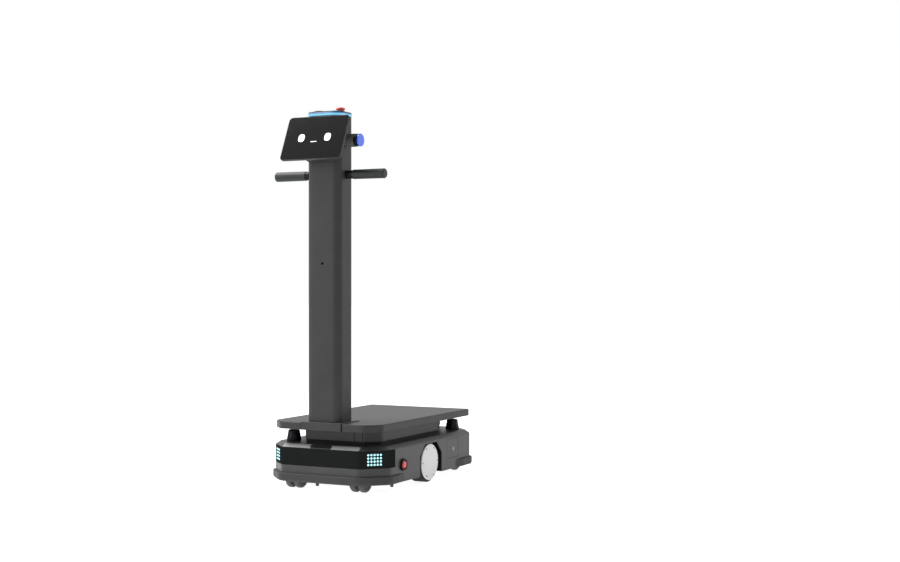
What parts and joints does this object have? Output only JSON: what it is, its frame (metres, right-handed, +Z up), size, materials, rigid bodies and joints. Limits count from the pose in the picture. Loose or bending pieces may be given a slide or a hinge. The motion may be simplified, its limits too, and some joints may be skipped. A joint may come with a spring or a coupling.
{
  "type": "autonomous mobile robot",
  "caption": "Wheeled delivery robot with a flat load deck, an upright column with handles, a tilted display, scanners, stop buttons and a light ring.",
  "frame": {"origin": "on the floor under the middle of the robot's outline", "axes": "+X to the robot's left, which is its right in a front view, -Y to the front, +Z up"},
  "size_m": [0.495, 0.882, 1.3525],
  "materials": {
    "shell_grey": "moulded, fine texture",
    "visor_black": "gloss",
    "lamp_white": "lit",
    "lens_black": "gloss",
    "bumper_rubber": "matt",
    "scanner_black": "satin",
    "scanner_window": "gloss",
    "frame_steel": "powder coat",
    "battery_black": "matt",
    "box_metal": "satin",
    "seal_rubber": "matt",
    "deck_grey": "powder coat",
    "column_grey": "powder coat",
    "ring_light": "lit",
    "cap_black": "satin",
    "collar_black": "satin",
    "stop_red": "satin",
    "button_blue": "satin",
    "display_grey": "satin",
    "screen_black": "gloss",
    "bar_steel": "brushed",
    "grip_rubber": "matt",
    "latch_metal": "satin",
    "contact_metal": "bare",
    "tyre_rubber": "matt",
    "hub_metal": "satin",
    "cover_white": "satin",
    "spring_steel": "satin",
    "castor_grey": "satin",
    "castor_rubber": "matt",
    "plate_steel": "zinc",
    "liner_black": "matt"
  },
  "bodies": {
    "base": {"chassis_frame": "frame_steel", "body_shell": "shell_grey", "wheel_wells": "liner_black", "front_visor": "visor_black", "headlight_lenses": "lamp_white", "front_camera": "lens_black", "front_bumper": "bumper_rubber", "rear_bumper": "bumper_rubber", "lidar_bases": "scanner_black", "lidar_windows": "scanner_window", "battery_pack": "battery_black", "control_box": "box_metal", "pedestal_frame": "frame_steel", "pedestal_cover": "shell_grey", "pedestal_seal": "seal_rubber", "deck_plate": "deck_grey", "column_plinth": "deck_grey", "column_tube": "column_grey", "light_ring": "ring_light", "column_cap": "cap_black", "ceiling_camera": "lens_black", "top_stop_collar": "collar_black", "display_shell": "display_grey", "display_glass": "screen_black", "display_neck": "display_grey", "handle_bar": "bar_steel", "left_grip": "grip_rubber", "right_grip": "grip_rubber", "handle_collars": "collar_black", "call_button_housing": "column_grey", "call_button_collar": "collar_black", "side_stop_cups": "collar_black", "charge_contacts": "contact_metal", "floor_sensors": "collar_black", "castor_plates": "plate_steel", "left_spring": "spring_steel", "right_spring": "spring_steel"},
    "left_arm": {"left_swing_arm": "frame_steel"},
    "right_arm": {"right_swing_arm": "frame_steel"},
    "left_wheel": {"left_tyre": "tyre_rubber", "left_hub": "hub_metal", "left_wheel_cover": "cover_white"},
    "right_wheel": {"right_tyre": "tyre_rubber", "right_hub": "hub_metal", "right_wheel_cover": "cover_white"},
    "top_stop": {"top_stop_button": "stop_red"},
    "left_stop": {"left_stop_button": "stop_red"},
    "right_stop": {"right_stop_button": "stop_red"},
    "call_cap": {"call_button": "button_blue"},
    "hatch": {"hatch_door": "shell_grey"},
    "latch": {"hatch_latch": "latch_metal"},
    "castor_front_left": {"castor_front_left": "castor_grey"},
    "castor_axle_front_left": {"castor_wheels_front_left": "castor_rubber"},
    "castor_front_right": {"castor_front_right": "castor_grey"},
    "castor_axle_front_right": {"castor_wheels_front_right": "castor_rubber"},
    "castor_rear_left": {"castor_rear_left": "castor_grey"},
    "castor_axle_rear_left": {"castor_wheels_rear_left": "castor_rubber"},
    "castor_rear_right": {"castor_rear_right": "castor_grey"},
    "castor_axle_rear_right": {"castor_wheels_rear_right": "castor_rubber"}
  },
  "joints": [
    {"name": "left_suspension", "type": "hinge", "parent": "base", "child": "left_arm", "pos_m": [0.141, 0.10903, 0.074], "axis": [1, 0, 0], "range_deg": [-2.5, 2.5], "stiffness_Nm_per_rad": 120, "springref_deg": 6.3, "deforming": ["left_spring"]},
    {"name": "left_wheel_spin", "type": "hinge", "parent": "left_arm", "child": "left_wheel", "pos_m": [0.201, 0.01903, 0.074], "axis": [1, 0, 0], "continuous": true},
    {"name": "right_suspension", "type": "hinge", "parent": "base", "child": "right_arm", "pos_m": [-0.141, 0.10903, 0.074], "axis": [1, 0, 0], "range_deg": [-2.5, 2.5], "stiffness_Nm_per_rad": 120, "springref_deg": 6.3, "deforming": ["right_spring"]},
    {"name": "right_wheel_spin", "type": "hinge", "parent": "right_arm", "child": "right_wheel", "pos_m": [-0.201, 0.01903, 0.074], "axis": [1, 0, 0], "continuous": true},
    {"name": "castor_front_left_swivel", "type": "hinge", "parent": "base", "child": "castor_front_left", "pos_m": [0.132, -0.29597, 0.082], "axis": [0, 0, 1], "continuous": true},
    {"name": "castor_front_left_roll", "type": "hinge", "parent": "castor_front_left", "child": "castor_axle_front_left", "pos_m": [0.132, -0.31397, 0.0375], "axis": [1, 0, 0], "continuous": true},
    {"name": "castor_front_right_swivel", "type": "hinge", "parent": "base", "child": "castor_front_right", "pos_m": [-0.132, -0.29597, 0.082], "axis": [0, 0, 1], "continuous": true},
    {"name": "castor_front_right_roll", "type": "hinge", "parent": "castor_front_right", "child": "castor_axle_front_right", "pos_m": [-0.132, -0.31397, 0.0375], "axis": [1, 0, 0], "continuous": true},
    {"name": "castor_rear_left_swivel", "type": "hinge", "parent": "base", "child": "castor_rear_left", "pos_m": [0.15, 0.34103, 0.082], "axis": [0, 0, 1], "continuous": true},
    {"name": "castor_rear_left_roll", "type": "hinge", "parent": "castor_rear_left", "child": "castor_axle_rear_left", "pos_m": [0.15, 0.35903, 0.0375], "axis": [1, 0, 0], "continuous": true},
    {"name": "castor_rear_right_swivel", "type": "hinge", "parent": "base", "child": "castor_rear_right", "pos_m": [-0.15, 0.34103, 0.082], "axis": [0, 0, 1], "continuous": true},
    {"name": "castor_rear_right_roll", "type": "hinge", "parent": "castor_rear_right", "child": "castor_axle_rear_right", "pos_m": [-0.15, 0.35903, 0.0375], "axis": [1, 0, 0], "continuous": true},
    {"name": "top_stop_press", "type": "slide", "parent": "base", "child": "top_stop", "axis": [0, 0, -1], "range_m": [0, 0.004]},
    {"name": "left_stop_press", "type": "slide", "parent": "base", "child": "left_stop", "axis": [-1, 0, 0], "range_m": [0, 0.004]},
    {"name": "right_stop_press", "type": "slide", "parent": "base", "child": "right_stop", "axis": [1, 0, 0], "range_m": [0, 0.004]},
    {"name": "call_button_press", "type": "slide", "parent": "base", "child": "call_cap", "axis": [-1, 0, 0], "range_m": [0, 0.0035], "stiffness_N_per_m": 900, "springref_m": -0.002},
    {"name": "hatch_hinge", "type": "hinge", "parent": "base", "child": "hatch", "pos_m": [0.236, 0.24203, 0.107], "axis": [0, 0, 1], "range_deg": [0, 90]},
    {"name": "hatch_latch_turn", "type": "hinge", "parent": "hatch", "child": "latch", "pos_m": [0.236, 0.20003, 0.104], "axis": [1, 0, 0], "range_deg": [0, 90]}
  ]
}
